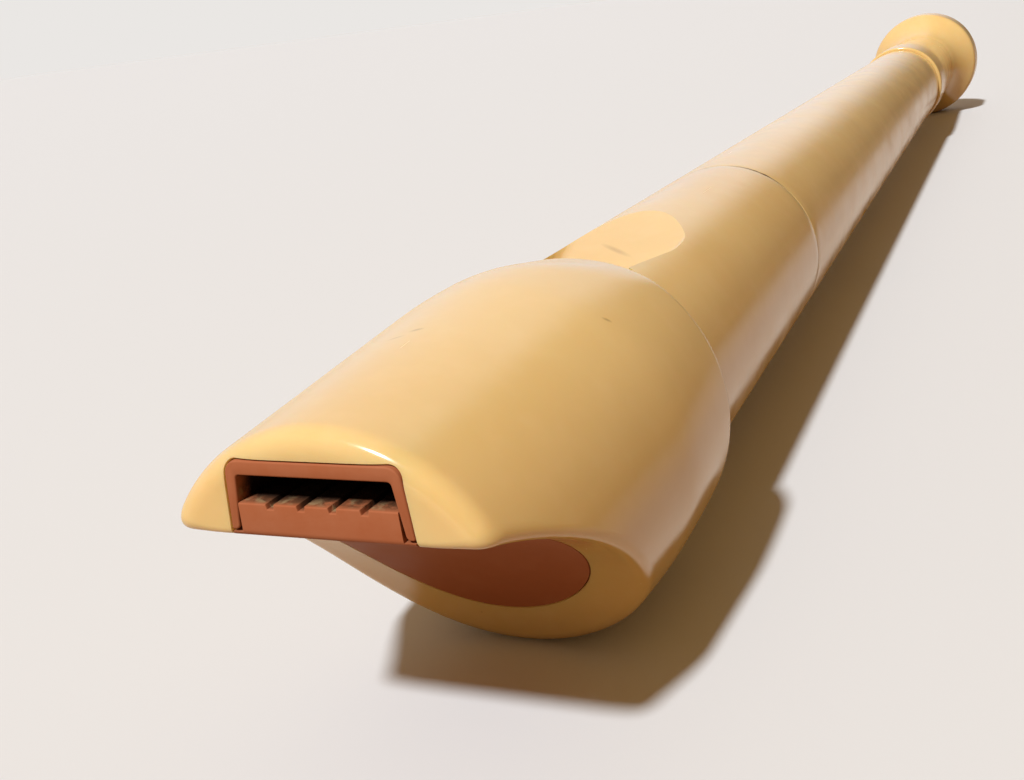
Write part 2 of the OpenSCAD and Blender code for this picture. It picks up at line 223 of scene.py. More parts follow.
# residue lies on the windway floor behind the beak's edge
axes = addNode(tree, "ShaderNodeSeparateXYZ", {}, {"Vector": place})
residueNoise = addNode(tree, "ShaderNodeTexNoise", {
    "Scale": perMetre(look["residueSize"]), "Detail": 6.0, "Roughness": 0.7}, {"Vector": place})
residueRagged = addNode(tree, "ShaderNodeMapRange", {"From Min": 0.34, "From Max": 0.5},
                        {"Value": residueNoise.outputs["Fac"]})
residueStart = addNode(tree, "ShaderNodeMapRange", {
    "From Min": dirtAndShade["start"][0], "From Max": dirtAndShade["start"][1]}, {"Value": axes.outputs["X"]})
residueLow = addNode(tree, "ShaderNodeMapRange", {
    "From Min": dirtAndShade["low"][0], "From Max": dirtAndShade["low"][1]}, {"Value": axes.outputs["Z"]})
residueHigh = addNode(tree, "ShaderNodeMapRange", {
    "From Min": dirtAndShade["high"][0], "From Max": dirtAndShade["high"][1]}, {"Value": axes.outputs["Z"]})
residueBand = addNode(tree, "ShaderNodeMath", {"operation": "MULTIPLY"},
                      {0: residueLow.outputs["Result"], 1: residueHigh.outputs["Result"]})
residuePlace = addNode(tree, "ShaderNodeMath", {"operation": "MULTIPLY"},
                       {0: residueBand.outputs["Value"], 1: residueStart.outputs["Result"]})
residue = addNode(tree, "ShaderNodeMath", {"operation": "MULTIPLY"},
                  {0: residuePlace.outputs["Value"], 1: residueRagged.outputs["Result"]})
stained = addNode(tree, "ShaderNodeMix", {"data_type": "RGBA", 7: linear(look["residue"])},
                  {"Factor": residue.outputs["Value"], 6: paled.outputs[2]})
crustNoise = addNode(tree, "ShaderNodeTexNoise", {"Scale": perMetre(look["crustSize"]), "Detail": 4.0},
                     {"Vector": place})
crustRagged = addNode(tree, "ShaderNodeMapRange", {"From Min": 0.53, "From Max": 0.63},
                      {"Value": crustNoise.outputs["Fac"]})
crust = addNode(tree, "ShaderNodeMath", {"operation": "MULTIPLY"},
                {0: residuePlace.outputs["Value"], 1: crustRagged.outputs["Result"]})
crusted = addNode(tree, "ShaderNodeMix", {"data_type": "RGBA", 7: linear(look["crust"])},
                  {"Factor": crust.outputs["Value"], 6: stained.outputs[2]})
# painted shade of the liner's roof, with damp residue: the windway darkened almost black a little way in from
# the lips
deepRagged = addNode(tree, "ShaderNodeMath", {"operation": "MULTIPLY_ADD", 1: dirtAndShade["dampShadeRagged"]},
                     {0: residueNoise.outputs["Fac"], 2: axes.outputs["X"]})
deepStart = addNode(tree, "ShaderNodeMapRange", {
    "From Min": dirtAndShade["dampShadeStart"][0], "From Max": dirtAndShade["dampShadeStart"][1],
    "To Max": dirtAndShade["dampShadeMost"]}, {"Value": deepRagged.outputs["Value"]})
fadeRagged = addNode(tree, "ShaderNodeMath", {"operation": "MULTIPLY_ADD", 1: dirtAndShade["fadeRagged"]},
                     {0: residueNoise.outputs["Fac"], 2: axes.outputs["X"]})
deepFade = addNode(tree, "ShaderNodeMapRange", {
    "From Min": dirtAndShade["fade"][0], "From Max": dirtAndShade["fade"][1], "To Min": 1.0,
    "To Max": dirtAndShade["fadeLeast"]}, {"Value": fadeRagged.outputs["Value"]})
deepReach = addNode(tree, "ShaderNodeMath", {"operation": "MULTIPLY"},
                    {0: deepStart.outputs["Result"], 1: deepFade.outputs["Result"]})
deepHeight = addNode(tree, "ShaderNodeMapRange", {
    "From Min": dirtAndShade["dampShadeHeight"][0], "From Max": dirtAndShade["dampShadeHeight"][1]},
    {"Value": axes.outputs["Z"]})
deepDirtAndShade = addNode(tree, "ShaderNodeMath", {"operation": "MULTIPLY"},
                   {0: deepReach.outputs["Value"], 1: deepHeight.outputs["Result"]})
blackened = addNode(tree, "ShaderNodeMix", {"data_type": "RGBA", 7: linear(look["dampShade"])},
                    {"Factor": deepDirtAndShade.outputs["Value"], 6: crusted.outputs[2]})
tree.links.new(blackened.outputs[2], shader.inputs["Base Color"])
satin = addNode(tree, "ShaderNodeMapRange", {
    "From Min": 0.35, "From Max": 0.7, "To Min": look["roughness"][0], "To Max": look["roughness"][1]},
    {"Value": paleNoise.outputs["Fac"]})
residueDull = addNode(tree, "ShaderNodeMath", {"operation": "MULTIPLY_ADD", 1: 0.35},
                      {0: residue.outputs["Value"], 2: satin.outputs["Result"]})
tree.links.new(residueDull.outputs["Value"], shader.inputs["Roughness"])
grainNoise = addNode(tree, "ShaderNodeTexNoise", {"Scale": perMetre(look["grainSize"]), "Detail": 2.0},
                     {"Vector": place})
grain = addNode(tree, "ShaderNodeBump", {"Strength": 1.0, "Distance": look["grainHeight"] * mm},
                {"Height": grainNoise.outputs["Fac"]})
crustHeight = addNode(tree, "ShaderNodeMath", {"operation": "ADD"},
                      {0: residue.outputs["Value"], 1: crust.outputs["Value"]})
crustRise = addNode(tree, "ShaderNodeBump", {"Strength": 1.0, "Distance": look["crustHeight"] * mm},
                    {"Height": crustHeight.outputs["Value"], "Normal": grain.outputs["Normal"]})
tree.links.new(crustRise.outputs["Normal"], shader.inputs["Normal"])
shader.inputs["IOR"].default_value = look["ior"]
shader.inputs["Specular IOR Level"].default_value = look["specular"]

# pressed cork: granules of bark in a darker binder, cut across, dry and matt
corkSheet = {
    "pale": "#C79A63", "body": "#A97844", "dark": "#5A3A20", "granule": 1.3, "pore": 0.5, "height": 0.12,
    "roughness": (0.72, 0.95),
}
look = corkSheet
corkBark, tree, shader, coords = newMaterial("pressedCork")
place = coords.outputs["Object"]
granules = addNode(tree, "ShaderNodeTexVoronoi", {"Scale": perMetre(look["granule"]), "Randomness": 1.0},
                   {"Vector": place})
granuleShade = addNode(tree, "ShaderNodeSeparateColor", {}, {"Color": granules.outputs["Color"]})
granuleColour = addNode(tree, "ShaderNodeMix", {
    "data_type": "RGBA", 6: linear(look["body"]), 7: linear(look["pale"])},
    {"Factor": granuleShade.outputs["Green"]})
granuleEdges = addNode(tree, "ShaderNodeTexVoronoi", {
    "feature": "DISTANCE_TO_EDGE", "Scale": perMetre(look["granule"])}, {"Vector": place})
binder = addNode(tree, "ShaderNodeMapRange", {"From Min": 0.09, "From Max": 0.01},
                 {"Value": granuleEdges.outputs["Distance"]})
poreNoise = addNode(tree, "ShaderNodeTexNoise", {"Scale": perMetre(look["pore"]), "Detail": 4.0},
                    {"Vector": place})
pores = addNode(tree, "ShaderNodeMapRange", {"From Min": 0.6, "From Max": 0.7},
                {"Value": poreNoise.outputs["Fac"]})
darkShare = addNode(tree, "ShaderNodeMath", {"operation": "MAXIMUM"},
                    {0: binder.outputs["Result"], 1: pores.outputs["Result"]})
darkFaint = addNode(tree, "ShaderNodeMath", {"operation": "MULTIPLY", 1: 0.75},
                    {0: darkShare.outputs["Value"]})
barkColour = addNode(tree, "ShaderNodeMix", {"data_type": "RGBA", 7: linear(look["dark"])},
                     {"Factor": darkFaint.outputs["Value"], 6: granuleColour.outputs[2]})
tree.links.new(barkColour.outputs[2], shader.inputs["Base Color"])
dry = addNode(tree, "ShaderNodeMapRange", {"To Min": look["roughness"][0], "To Max": look["roughness"][1]},
              {"Value": poreNoise.outputs["Fac"]})
tree.links.new(dry.outputs["Result"], shader.inputs["Roughness"])
pits = addNode(tree, "ShaderNodeBump", {"Strength": 0.8, "Distance": look["height"] * mm, "invert": True},
               {"Height": darkShare.outputs["Value"]})
tree.links.new(pits.outputs["Normal"], shader.inputs["Normal"])
print("materials made")


def toObject(bm, name):
    mesh = bpy.data.meshes.new(name)
    bm.to_mesh(mesh)
    bm.free()
    piece = bpy.data.objects.new(name, mesh)
    bpy.context.scene.collection.objects.link(piece)
    return piece


def cutAway(piece, cutters):
    for cutter in cutters:
        modifier = piece.modifiers.new("cut", "BOOLEAN")
        modifier.operation = "DIFFERENCE"
        modifier.solver = "EXACT"
        modifier.object = cutter
    cut = bpy.data.meshes.new_from_object(piece.evaluated_get(bpy.context.evaluated_depsgraph_get()))
    piece.modifiers.clear()
    piece.data = cut
    for cutter in cutters:
        bpy.data.objects.remove(cutter)


def finishPiece(piece, material, sharpAngle, body, node):
    piece.data.transform(pipeFrame)
    piece.data.materials.clear()
    piece.data.materials.append(material)
    piece.data.shade_smooth()
    piece.data.set_sharp_from_angle(angle=math.radians(sharpAngle))
    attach(piece, body)
    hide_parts(node)
    print(piece.name, "has", len(piece.data.polygons), "faces")


def bend(start, corner, end, steps):
    # points of a soft corner, both ends left out
    points = []
    for i in range(1, steps):
        t = i / steps
        points.append(tuple((1 - t) ** 2 * a + 2 * t * (1 - t) * b + t * t * c
                            for a, b, c in zip(start, corner, end)))
    return points


def between(start, end, count):
    # points along a straight stretch, both ends included
    return [tuple(a + (b - a) * i / count for a, b in zip(start, end)) for i in range(count + 1)]


def arcPoints(centre, radius, start, end, steps):
    # points of an arc, its turn measured from the first axis
    angles = [math.radians(start + (end - start) * i / steps) for i in range(steps + 1)]
    return [(centre[0] + radius * math.cos(a), centre[1] + radius * math.sin(a)) for a in angles]


def prism(outline, half, name):
    # outline of place and height, run across the pipe
    bm = bmesh.new()
    face = bm.faces.new([bm.verts.new((s, -half, z)) for s, z in outline])
    run = bmesh.ops.extrude_face_region(bm, geom=[face])
    for v in run["geom"]:
        if isinstance(v, bmesh.types.BMVert):
            v.co.y = -v.co.y
    bmesh.ops.recalc_face_normals(bm, faces=bm.faces)
    return toObject(bm, name)


def drawnLoop(bm, outline, start, end):
    # closed outline of width and height, run along the pipe; gives the vertices of its far end
    face = bm.faces.new([bm.verts.new((start, y, z)) for y, z in outline])
    run = bmesh.ops.extrude_face_region(bm, geom=[face], use_keep_orig=True)
    far = [v for v in run["geom"] if isinstance(v, bmesh.types.BMVert)]
    bmesh.ops.translate(bm, vec=(end - start, 0, 0), verts=far)
    bmesh.ops.recalc_face_normals(bm, faces=bm.faces)
    return far


# head shell: a turned shell whose front is drawn onto the beak's cut
beak = {
    "taper": math.radians(3.5), "rimSoft": (1.45, 0.9), "creaseSoft": (0.4, 0.9), "edgeHeight": 5.6,
    "hollowRadius": 30.8, "hollowPlace": -6.7, "cutPoints": 60, "sidePoints": 37,
}
bulb = {
    "crest": 26.5, "radius": 13.4, "crestArc": 50.0, "backArc": 190.0, "rim": 35.6,
    "rimRound": 2.3, "cove": 1.6,
}
pipe = {"neckRadius": 11.4, "seamRadius": 10.8, "end": 87.46, "edge": 0.12}
chamber = {
    "radius": 9.3, "end": 37.0, "slotHalf": 5.55, "slotTop": 10.15, "slotCorner": 0.9,
    "slotFlare": math.radians(4.3), "flat": 5.35,
}
window = {
    "start": 37.0, "lip": 40.6, "half": 4.9, "lipHeight": 7.1, "rise": 0.2, "rampHalf": 4.55,
    "rampFlare": 0.128, "rampRound": 1.3, "rampLong": 27.0, "cutTop": 25,
}
brow = {"place": 37.0, "radius": 12.2, "fall": 0.18, "soft": 0.3, "left": 0.7, "spread": 2.0, "reach": 1.2}
headBore = {"radius": 6.4, "socketStart": 68.3, "socketRadius": 8.45, "edge": 0.15}

hollowHeight = beak["edgeHeight"] - math.sqrt(beak["hollowRadius"] ** 2 - beak["hollowPlace"] ** 2)
taperEnd = bulb["crest"] - bulb["crestArc"] * math.sin(beak["taper"])
taperRadius = bulb["radius"] - bulb["crestArc"] * (1 - math.cos(beak["taper"]))
backFall = math.asin((bulb["rim"] - bulb["crest"]) / bulb["backArc"])
rimReach = bulb["backArc"] - bulb["rimRound"]
rimCentre = (bulb["crest"] + rimReach * math.sin(backFall),
             bulb["radius"] - bulb["backArc"] + rimReach * math.cos(backFall))
shoulderReach = bulb["rimRound"] + bulb["cove"]
shoulderFall = math.acos((pipe["neckRadius"] + bulb["cove"] - rimCentre[1]) / shoulderReach)
shoulderJoin = rimCentre[0] + bulb["rimRound"] * math.sin(shoulderFall)
neckStart = rimCentre[0] + shoulderReach * math.sin(shoulderFall)


def headRadius(s):
    if s < taperEnd:
        return taperRadius - (taperEnd - s) * math.tan(beak["taper"])
    if s < bulb["rim"]:
        arc = bulb["crestArc"] if s < bulb["crest"] else bulb["backArc"]
        return bulb["radius"] - arc + math.sqrt(arc ** 2 - (s - bulb["crest"]) ** 2)
    if s < shoulderJoin:
        return rimCentre[1] + math.sqrt(bulb["rimRound"] ** 2 - (s - rimCentre[0]) ** 2)
    if s < neckStart:
        return pipe["neckRadius"] + bulb["cove"] - math.sqrt(bulb["cove"] ** 2 - (neckStart - s) ** 2)
    fall = pipe["seamRadius"] - pipe["neckRadius"]
    return pipe["neckRadius"] + fall * (s - neckStart) / (pipe["end"] - neckStart)


def browRadius(s, angle):
    # outside radius, taken down softly on top of the bulb, more to the left
    radius = headRadius(s)
    turn = angle if angle < math.pi else angle - 2 * math.pi
    aside = max(0, -turn, turn - brow["left"])
    if aside > brow["reach"] or not bulb["crest"] < s < neckStart:
        return radius
    worn = brow["radius"] + brow["fall"] * (brow["place"] - s) + brow["spread"] * aside ** 2
    near = max(brow["soft"] - abs(radius - worn), 0)
    return min(radius, worn) - near ** 2 / (4 * brow["soft"])


def ease(start, end, value):
    t = min(max((value - start) / (end - start), 0), 1)
    return t * t * (3 - 2 * t)


def cutPlace(z):
    # where the front face and the hollow stand at this height
    if z >= beak["edgeHeight"]:
        return 0.0
    return beak["hollowPlace"] + math.sqrt(beak["hollowRadius"] ** 2 - (z - hollowHeight) ** 2)


def softMax(a, b, soft):
    near = max(soft - abs(a - b), 0)
    return max(a, b) + near ** 2 / (4 * soft)


def beakSkin(s, r, side, up):
    # how far a point lies outside the beak: front face, hollow and turned outside, blended along their edges
    hollow = beak["hollowRadius"] - math.hypot(s - beak["hollowPlace"], r * up - hollowHeight)
    crisp, soft = beak["creaseSoft"]
    cut = softMax(-s, hollow, crisp + (soft - crisp) * ease(6.5, 10.5, r * side))
    frontSoft, backSoft = beak["rimSoft"]
    return softMax(cut, r - headRadius(s), frontSoft + (backSoft - frontSoft) * ease(0, 8, s))


def onSkin(inside, outside, side, up):
    # where the line between two points meets the beak's skin
    low, high = 0.0, 1.0
    for i in range(28):
        t = (low + high) / 2
        s, r = (a + (b - a) * t for a, b in zip(inside, outside))
        if beakSkin(s, r, side, up) < 0:
            low = t
        else:
            high = t
    return s, r


def chamberRadius(angle):
    y, z = abs(math.sin(angle)), math.cos(angle)
    half, top, corner, flare = (chamber[key] for key in ("slotHalf", "slotTop", "slotCorner", "slotFlare"))
    lean = math.tan(flare)
    if z <= 0:
        return chamber["radius"]
    reach = min((half + top * lean) / (y + z * lean), top / z)
    cy, cz = half - corner * (1 - math.sin(flare)) / math.cos(flare), top - corner
    if reach * y > cy and reach * z > cz:  # rounded upper corner
        along = cy * y + cz * z
        reach = along + math.sqrt(along ** 2 - cy ** 2 - cz ** 2 + corner ** 2)
    return max(reach, min(chamber["radius"], chamber["flat"] / z))


def headMeridian(angle):
    # one line of the shell at this turn: socket, bore, chamber, front cut, rim, outside
    side, up = abs(math.sin(angle)), math.cos(angle)
    edge, socket, socketStart = pipe["edge"], headBore["socketRadius"], headBore["socketStart"]
    points = [(pipe["end"], socket + edge), (pipe["end"] - edge, socket)]
    points += [(socketStart + 4, socket), (socketStart, socket)]
    boreR, boreEdge = headBore["radius"], headBore["edge"]
    points += [(socketStart, boreR + boreEdge), (socketStart - boreEdge, boreR)]
    for i in range(1, 7):
        points.append((socketStart + (chamber["end"] - socketStart) * i / 6, boreR))
    inner = chamberRadius(angle)
    points.append((chamber["end"], inner))
    innerRim = onSkin((chamber["end"], inner), (-1, inner), side, up)[0]
    for i in range(1, 8):
        points.append((chamber["end"] + (innerRim + 0.12 - chamber["end"]) * i / 7, inner))
    # outer corner of the cut, before it is softened
    low, high = 0.0, 40.0
    for i in range(50):
        half = (low + high) / 2
        if half < cutPlace(headRadius(half) * up):
            low = half
        else:
            high = half
    corner = (high, headRadius(high))
    # points on the sharp cut and on the outside behind it, pulled onto the softened skin
    sharp = []
    for i in range(beak["cutPoints"]):
        r = inner + 0.06 + (corner[1] - inner - 0.06) * (1 - (1 - i / beak["cutPoints"]) ** 1.5)
        sharp.append((cutPlace(r * up), r))
    reach = 8 - 4 * ease(4, 14, corner[0])
    for i in range(beak["sidePoints"]):
        s = corner[0] + reach * (i / (beak["sidePoints"] - 1)) ** 1.7
        sharp.append((s, headRadius(s)))
    middle = max(innerRim, corner[0]) + 8
    middle = (middle, (inner + headRadius(middle)) / 2)
    points += [onSkin(middle, q, side, up) for q in sharp]
    sideStart = sharp[-1]
    outsideEnd = pipe["end"] - edge
    stops = ((sideStart[0], 30.0, 26), (30.0, 35.0, 10), (35.0, 39.2, 34), (39.2, outsideEnd, 30))
    for start, end, steps in stops:
        for i in range(steps):
            s = start + (end - start) * i / steps
            if s > sideStart[0]:
                points.append((s, browRadius(s, angle)))
    last = (outsideEnd, headRadius(outsideEnd))
    points.append(last)
    points += bend(last, (pipe["end"], last[1]), (pipe["end"], last[1] - edge), 4)
    points.append((pipe["end"], last[1] - edge))
    points.append((pipe["end"], socket + edge))
    return points


def spread(stops):
    # turns about the axis, closer together where the beak's corners are
    angles = []
    for start, end, step in stops:
        count = round((end - start) / step)
        angles += [start + (end - start) * i / count for i in range(count)]
    return [math.radians(a) for a in angles]


halfTurn = spread([(0, 20, 1), (20, 80, 0.5), (80, 180, 1.25)])
headTurns = halfTurn + [math.pi] + [2 * math.pi - a for a in reversed(halfTurn[1:])]
headLines = [headMeridian(a) for a in headTurns]

bm = bmesh.new()
chain = [bm.verts.new((i, 0, 1)) for i in range(len(headLines[0]))]
chainEdges = [bm.edges.new(pair) for pair in zip(chain, chain[1:])]
bmesh.ops.spin(bm, geom=chain + chainEdges, cent=(0, 0, 0), axis=(1, 0, 0), angle=2 * math.pi,
               steps=len(headTurns), use_merge=True)
wholeTurn = 2 * math.pi
for v in bm.verts:
    share = (math.atan2(v.co.y, v.co.z) % wholeTurn) / wholeTurn
    turn = round(share * len(headTurns)) % len(headTurns)
    s, r = headLines[turn][round(v.co.x)]
    v.co = (s, r * math.sin(headTurns[turn]), r * math.cos(headTurns[turn]))
bmesh.ops.remove_doubles(bm, verts=bm.verts, dist=1e-4)
bmesh.ops.recalc_face_normals(bm, faces=bm.faces)
headShell = toObject(bm, "headShell")
windowCutter = prism([(window["start"], 0), (window["lip"], 0), (window["lip"], window["cutTop"]),
                      (window["start"], window["cutTop"])], window["half"], "windowCutter")
# ramp: cut with a round-nosed cutter, so its floor turns up softly at the sides
rampRound = window["rampRound"]
rampSide = arcPoints((window["rampHalf"] - rampRound, window["lipHeight"] + rampRound), rampRound, -90, 0, 9)
rampSide.append((window["rampHalf"], window["cutTop"]))
bm = bmesh.new()
far = drawnLoop(bm, rampSide + [(-y, z) for y, z in reversed(rampSide)], window["lip"] - 0.02,
                window["lip"] + window["rampLong"])
for v in far:
    v.co.y += math.copysign(window["rampFlare"] * window["rampLong"], v.co.y)
    v.co.z += window["rise"] * window["rampLong"]
rampCutter = toObject(bm, "rampCutter")
cutAway(headShell, [windowCutter, rampCutter])
finishPiece(headShell, ivory, 32, "head", "head_shell")
# the ramp runs out at a shallow angle, so its outline is kept crisp
bm = bmesh.new()
bm.from_mesh(headShell.data)
bm.transform(pipeFrame.inverted())
inRamp = set()
for face in bm.faces:
    s, y, z = face.calc_center_median()
    if s > window["lip"] and z > window["lipHeight"] and math.hypot(y, z) < headRadius(s) - 0.01:
        inRamp.add(face.index)
for edge in bm.edges:
    if len({face.index in inRamp for face in edge.link_faces}) == 2:
        edge.smooth = False
bm.transform(pipeFrame)
bm.to_mesh(headShell.data)
bm.free()


# windway liner: an arch of terracotta plastic let into the beak, its legs leaning outwards
liner = {
    "half": 5.5, "top": 10.1, "corner": 0.9, "flare": math.radians(4.3), "foot": 5.95, "length": 37.0,
    "footRound": 0.3, "channelHalf": 4.8, "channelFlare": math.tan(math.radians(7)), "roofFront": 9.23,
    "roofBack": 7.75, "innerRound": 0.25, "toeRound": 0.12, "edge": 0.14,
}


def channelHalf(z):
    return liner["channelHalf"] + (liner["top"] - z) * liner["channelFlare"]


lean = math.degrees(liner["flare"])
footHalf = liner["half"] + (liner["top"] - liner["foot"]) * math.tan(liner["flare"])
cornerPlace = liner["half"] - liner["corner"] * (1 - math.sin(liner["flare"])) / math.cos(liner["flare"])
roofRound, footRound, toeRound = liner["innerRound"], liner["footRound"], liner["toeRound"]
rightSide = arcPoints((channelHalf(liner["roofFront"]) - roofRound, liner["roofFront"] - roofRound),
                      roofRound, 90, 7, 4)
rightSide += arcPoints((channelHalf(liner["foot"] + footRound) + footRound, liner["foot"] + footRound),
                       footRound, 187, 262, 4)
rightSide += arcPoints((footHalf - toeRound, liner["foot"] + toeRound), toeRound, 278, 360 + lean, 3)
rightSide += arcPoints((cornerPlace, liner["top"] - liner["corner"]), liner["corner"], lean, 90, 8)
outline = rightSide + [(-y, z) for y, z in reversed(rightSide)]
bm = bmesh.new()
far = drawnLoop(bm, outline, 0, liner["length"])
roofFall = liner["roofFront"] - liner["roofBack"]
for v in far:
    if abs(v.co.y) < cornerPlace + 0.2 and liner["roofFront"] - 0.3 < v.co.z < liner["roofFront"] + 0.01:
        v.co.y += math.copysign(roofFall * liner["channelFlare"], v.co.y)  # roof falls towards the window
        v.co.z -= roofFall
frontEdges = [e for e in bm.edges if all(v.co.x < 1e-6 for v in e.verts)]
bmesh.ops.bevel(bm, geom=frontEdges, offset=liner["edge"], offset_type="OFFSET", affect="EDGES", segments=3,
                profile=0.5, material=-1, clamp_overlap=True)
bmesh.ops.recalc_face_normals(bm, faces=bm.faces)
windwayLiner = toObject(bm, "windwayLiner")
finishPiece(windwayLiner, clay, 35, "head", "windway_liner")

# block: a plug with a raised windway floor, grooved, and cut with the beak
block = {
    "radius": 9.25, "length": 36.9, "clear": 0.05, "lowClear": 0.22, "floorFront": 7.57, "floorBack": 6.75,
    "step": 5.8, "shoulder": 5.3, "grooves": (-3.0, -1.0, 1.0, 3.0), "grooveHalf": 0.2, "grooveLean": 0.06,
    "grooveDeep": 0.3, "edge": 0.1,
}
floor = []
floorHeight, grooveHalf, grooveLean = block["floorFront"], block["grooveHalf"], block["grooveLean"]
for groove in block["grooves"]:
    deep = floorHeight - block["grooveDeep"]
    floor += [(groove - grooveHalf - grooveLean, floorHeight), (groove - grooveHalf, deep),
              (groove + grooveHalf, deep), (groove + grooveHalf + grooveLean, floorHeight)]
shoulderTurn = math.degrees(math.asin(block["shoulder"] / block["radius"]))
sides = arcPoints((0, 0), block["radius"], shoulderTurn, -180 - shoulderTurn, 120)
topHalf = channelHalf(floorHeight) - block["clear"]
lowHalf = channelHalf(block["step"]) - block["lowClear"]
stepHalf = liner["half"] + (liner["top"] - block["step"]) * math.tan(liner["flare"])
outline = [(-stepHalf, block["shoulder"]), (-stepHalf, block["step"]), (-lowHalf, block["step"]),
           (-topHalf, floorHeight)]
outline += floor + [(-y, z) for y, z in reversed(outline)] + sides
bm = bmesh.new()
far = drawnLoop(bm, outline, 0, block["length"])
floorFall = floorHeight - block["floorBack"]
for v in far:
    if v.co.z > floorHeight - block["grooveDeep"] - 1e-4 and abs(v.co.y) < topHalf + 1e-4:
        if abs(v.co.y) > topHalf - 1e-4:
            v.co.y += math.copysign(floorFall * liner["channelFlare"], v.co.y)
        v.co.z -= floorFall  # floor falls towards the window
floorEdges = [e for e in bm.edges if all(v.co.x < 1e-6 and v.co.z > block["step"] + 1e-6 for v in e.verts)]
bmesh.ops.bevel(bm, geom=floorEdges, offset=block["edge"], offset_type="OFFSET", affect="EDGES", segments=3,
                profile=0.5, material=-1, clamp_overlap=True)
bmesh.ops.recalc_face_normals(bm, faces=bm.faces)
windwayBlock = toObject(bm, "windwayBlock")
edgeSoft = beak["creaseSoft"][0]
edgeTop = (0.0, beak["edgeHeight"] + edgeSoft)
edgeRise = math.sqrt(beak["hollowRadius"] ** 2 - (edgeSoft - beak["hollowPlace"]) ** 2)
edgeLow = (edgeSoft, hollowHeight + edgeRise)
cutLine = [edgeTop] + bend(edgeTop, (0.0, beak["edgeHeight"]), edgeLow, 12) + [edgeLow]
cutLine += [(cutPlace(edgeLow[1] - 0.25 * i), edgeLow[1] - 0.25 * i) for i in range(1, 84)]
hollowCutter = prism(cutLine + [(-6, cutLine[-1][1]), (-6, cutLine[0][1])], 20, "hollowCutter")
cutAway(windwayBlock, [hollowCutter])
finishPiece(windwayBlock, clay, 35, "block", "block")


def turnedPiece(outline, steps, name):
    # closed outline of place and radius, turned about the pipe's axis
    bm = bmesh.new()
    loop = [bm.verts.new((s, 0, r)) for s, r in outline]
    edges = [bm.edges.new(pair) for pair in zip(loop, loop[1:] + loop[:1])]
    bmesh.ops.spin(bm, geom=loop + edges, cent=(0, 0, 0), axis=(1, 0, 0), angle=2 * math.pi, steps=steps,
                   use_merge=True)
    bmesh.ops.remove_doubles(bm, verts=bm.verts, dist=1e-4)
    bmesh.ops.recalc_face_normals(bm, faces=bm.faces)
    return toObject(bm, name)


holeRim = {"radius": 0.75, "deep": 0.6, "turn": 75, "wide": 1.2, "high": 0.45}


def holeCutter(s, diameter, surface, turn, name):
    # round hole whose rim opens softly at the surface
    rimLow = surface - holeRim["deep"]
    outline = [(diameter / 2, 2.0), (diameter / 2, rimLow)]
    for i in range(1, 8):
        a = math.radians(holeRim["turn"] * i / 7)
        outline.append((diameter / 2 + holeRim["radius"] * (1 - math.cos(a)),
                        rimLow + holeRim["radius"] * math.sin(a)))
    outline.append((outline[-1][0] + holeRim["wide"], outline[-1][1] + holeRim["high"]))
    bm = bmesh.new()
    chain = [bm.verts.new((r, 0, h)) for r, h in outline]
    edges = [bm.edges.new(pair) for pair in zip(chain, chain[1:])]
    bmesh.ops.spin(bm, geom=chain + edges, cent=(0, 0, 0), axis=(0, 0, 1), angle=2 * math.pi, steps=48,
                   use_merge=True)
    bmesh.ops.remove_doubles(bm, verts=bm.verts, dist=1e-5)
    bmesh.ops.holes_fill(bm, edges=[e for e in bm.edges if e.is_boundary], sides=0)
    bmesh.ops.recalc_face_normals(bm, faces=bm.faces)
    bmesh.ops.rotate(bm, matrix=Matrix.Rotation(math.radians(-turn), 3, "X"), verts=bm.verts)
    bmesh.ops.translate(bm, vec=(s, 0, 0), verts=bm.verts)
    return toObject(bm, name)


# middle joint: tapered pipe with a corked tenon at each end and the finger holes
middle = {
    "start": 87.54, "end": 257.9, "topRadius": 10.79, "lowRadius": 8.8, "taperStart": 87.5,
    "taperLong": 170.5, "edge": 0.12, "tenonStart": 68.5, "tenonEnd": 272.9, "headTenon": 8.3, "footTenon": 7.3,
    "corkDeep": 0.7, "headCork": (72.5, 82.5), "footCork": (261.9, 268.9), "boreTop": 6.4, "boreLow": 5.4,
    "boreEdge": 0.3, "holeTurn": 55.0, "chamfer": 0.5, "thumb": (131, 5.2), "pair": (242, (3.6, 3.0), 14.0),
    "holes": ((140, 5.2), (160, 6.0), (180, 6.2), (204, 6.2), (223, 6.0)),
}


def middleRadius(s):
    return (middle["topRadius"] + (middle["lowRadius"] - middle["topRadius"]) * (s - middle["taperStart"])
            / middle["taperLong"])


edge, chamfer, boreEdge, corkDeep = (middle[key] for key in ("edge", "chamfer", "boreEdge", "corkDeep"))
start, end, tenonStart, tenonEnd = (middle[key] for key in ("start", "end", "tenonStart", "tenonEnd"))
headTenon, footTenon = middle["headTenon"], middle["footTenon"]
topR, lowR = middleRadius(start), middleRadius(end)
outline = [(tenonStart, middle["boreTop"] + boreEdge), (tenonStart, headTenon - chamfer),
           (tenonStart + chamfer, headTenon)]
outline += [(middle["headCork"][0], headTenon), (middle["headCork"][0], headTenon - corkDeep)]
outline += [(middle["headCork"][1], headTenon - corkDeep), (middle["headCork"][1], headTenon)]
outline += [(start, headTenon), (start, topR - edge)]
outline += bend((start, topR - edge), (start, topR), (start + edge, topR), 5)
outline += between((start + edge, topR), (end - edge, lowR), 82)
outline += bend((end - edge, lowR), (end, lowR), (end, lowR - edge), 5)
outline += [(end, lowR - edge), (end, footTenon)]
outline += [(middle["footCork"][0], footTenon), (middle["footCork"][0], footTenon - corkDeep)]
outline += [(middle["footCork"][1], footTenon - corkDeep), (middle["footCork"][1], footTenon)]
outline += [(tenonEnd - chamfer, footTenon), (tenonEnd, footTenon - chamfer),
            (tenonEnd, middle["boreLow"] + boreEdge)]
outline += between((tenonEnd - boreEdge, middle["boreLow"]), (tenonStart + boreEdge, middle["boreTop"]), 60)
